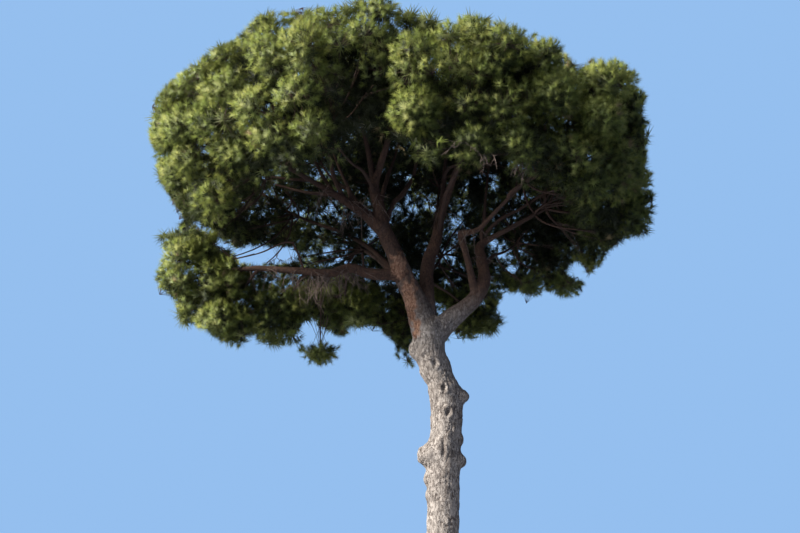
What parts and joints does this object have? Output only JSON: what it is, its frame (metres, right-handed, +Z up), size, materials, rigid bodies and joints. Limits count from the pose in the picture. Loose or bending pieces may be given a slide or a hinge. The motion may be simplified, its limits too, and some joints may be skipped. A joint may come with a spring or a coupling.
{
  "type": "stone pine",
  "caption": "Mature umbrella-crowned stone pine: knobbed bare trunk with root flare, forked limbs that fan out, and a wide flat-topped crown of dense needle masses, hollow underneath.",
  "frame": {"origin": "middle of the flat cut at ground level, under the trunk", "axes": "+Z up along the trunk, +X to the right and +Y away as the tree is seen in the picture"},
  "size_m": [11.7806, 11.5642, 14.1828],
  "materials": {
    "trunk_bark": "plated, deeply fissured grey-beige bark",
    "bough_bark": "flaky red-brown bark",
    "needles": "dense olive-green needles"
  },
  "bodies": {
    "root": {"arched_twig_fall": "bough_bark", "arched_twig_rise": "bough_bark", "crooked_limb_reach": "bough_bark", "crooked_limb_rise": "bough_bark", "crown_top": "needles", "crown_top_limb": "bough_bark", "hanging_tuft": "needles", "hanging_twig": "bough_bark", "left_leader": "bough_bark", "left_limb": "bough_bark", "low_left_inner": "needles", "low_left_inner_limb": "bough_bark", "low_left_limb": "bough_bark", "low_left_lower": "needles", "low_left_lower_limb": "bough_bark", "low_left_outer": "needles", "low_rear_left": "needles", "low_rear_left_limb": "bough_bark", "low_rear_middle": "needles", "low_rear_middle_limb": "bough_bark", "low_rear_right": "needles", "low_rear_right_limb": "bough_bark", "middle_limb": "bough_bark", "rear_limb": "bough_bark", "right_limb": "bough_bark", "rim_front_left": "needles", "rim_front_left_limb": "bough_bark", "rim_front_right": "needles", "rim_front_right_limb": "bough_bark", "rim_left": "needles", "rim_left_front": "needles", "rim_left_limb": "bough_bark", "rim_left_rear": "needles", "rim_left_rear_limb": "bough_bark", "rim_rear_left": "needles", "rim_rear_right": "needles", "rim_rear_right_limb": "bough_bark", "rim_right": "needles", "rim_right_front": "needles", "rim_right_rear": "needles", "rim_right_rear_limb": "bough_bark", "shoulder_front": "needles", "shoulder_left_front": "needles", "shoulder_left_front_limb": "bough_bark", "shoulder_left_rear": "needles", "shoulder_left_rear_limb": "bough_bark", "shoulder_rear": "needles", "shoulder_rear_limb": "bough_bark", "shoulder_right": "needles", "shoulder_right_front": "needles", "shoulder_right_limb": "bough_bark", "shoulder_right_rear": "needles", "shoulder_right_rear_limb": "bough_bark", "trunk": "trunk_bark"}
  },
  "joints": []
}
